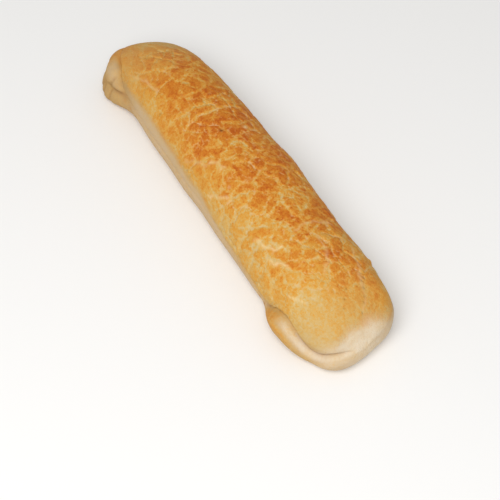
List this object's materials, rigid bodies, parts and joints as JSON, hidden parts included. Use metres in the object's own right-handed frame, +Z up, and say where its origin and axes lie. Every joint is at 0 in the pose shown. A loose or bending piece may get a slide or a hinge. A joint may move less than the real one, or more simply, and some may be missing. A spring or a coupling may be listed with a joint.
{
  "type": "tiger bread roll",
  "caption": "Long soft-baked bread roll with a crackled golden-brown crust, a pale fold of dough round its lower edge and a flat base to lie on.",
  "frame": {"origin": "on the flat base, under the middle of the roll's box", "axes": "+X along the roll towards its blunt end with the pale lip, +Z up from the base, -Y the side where the fold of dough stands out"},
  "size_m": [0.2364, 0.058, 0.0424],
  "materials": {
    "crust": "matte baked crust, browned on the crown, with a pale crackle"
  },
  "bodies": {
    "root": {"roll": "crust"}
  },
  "joints": []
}
